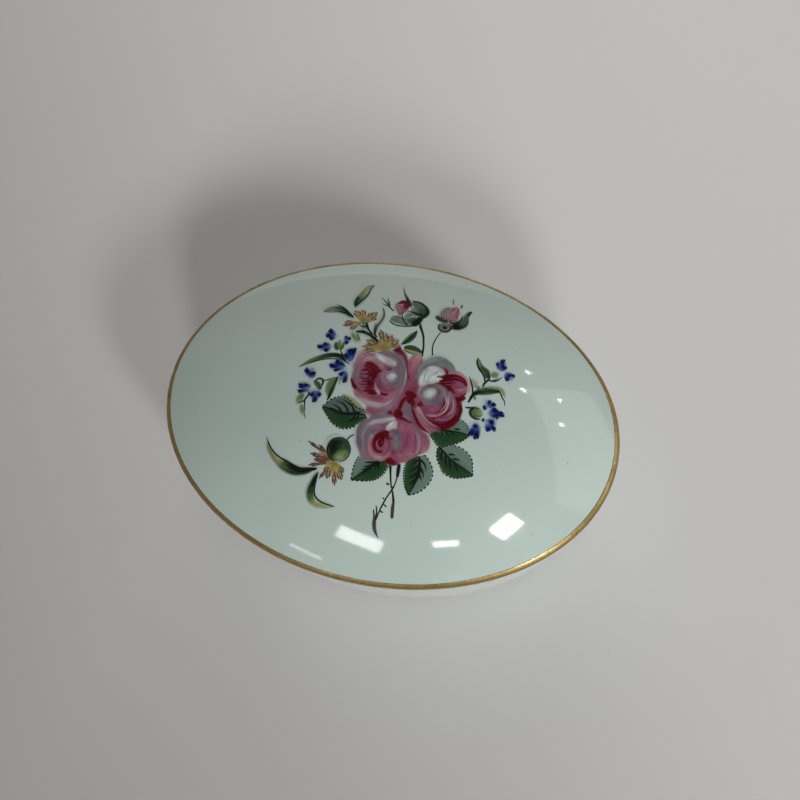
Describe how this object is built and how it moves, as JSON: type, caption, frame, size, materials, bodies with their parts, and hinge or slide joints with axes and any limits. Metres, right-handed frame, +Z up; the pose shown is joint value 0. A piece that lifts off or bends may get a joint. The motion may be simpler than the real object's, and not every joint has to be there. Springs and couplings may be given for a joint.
{
  "type": "trinket box",
  "caption": "Oval porcelain trinket box with a deep foot-ringed base and a domed lift-off lid edged with a gilt line.",
  "frame": {"origin": "on the table, under the middle of the foot ring", "axes": "+X along the long axis of the oval, +Y across it, +Z up out of the lid"},
  "size_m": [0.082, 0.0604, 0.035],
  "materials": {
    "base_porcelain": "glossy pale celadon-white glaze, with a bare biscuit foot ring",
    "lid_porcelain": "glossy pale celadon-white glaze with on-glaze enamel painting on top",
    "gilt": "burnished fired gold"
  },
  "bodies": {
    "base": {"base": "base_porcelain"},
    "lid": {"lid": "lid_porcelain", "lid_gilt_line": "gilt"}
  },
  "joints": [
    {"name": "lid_lift", "type": "slide", "parent": "base", "child": "lid", "axis": [0, 0, 1], "range_m": [0, 0.04]}
  ]
}
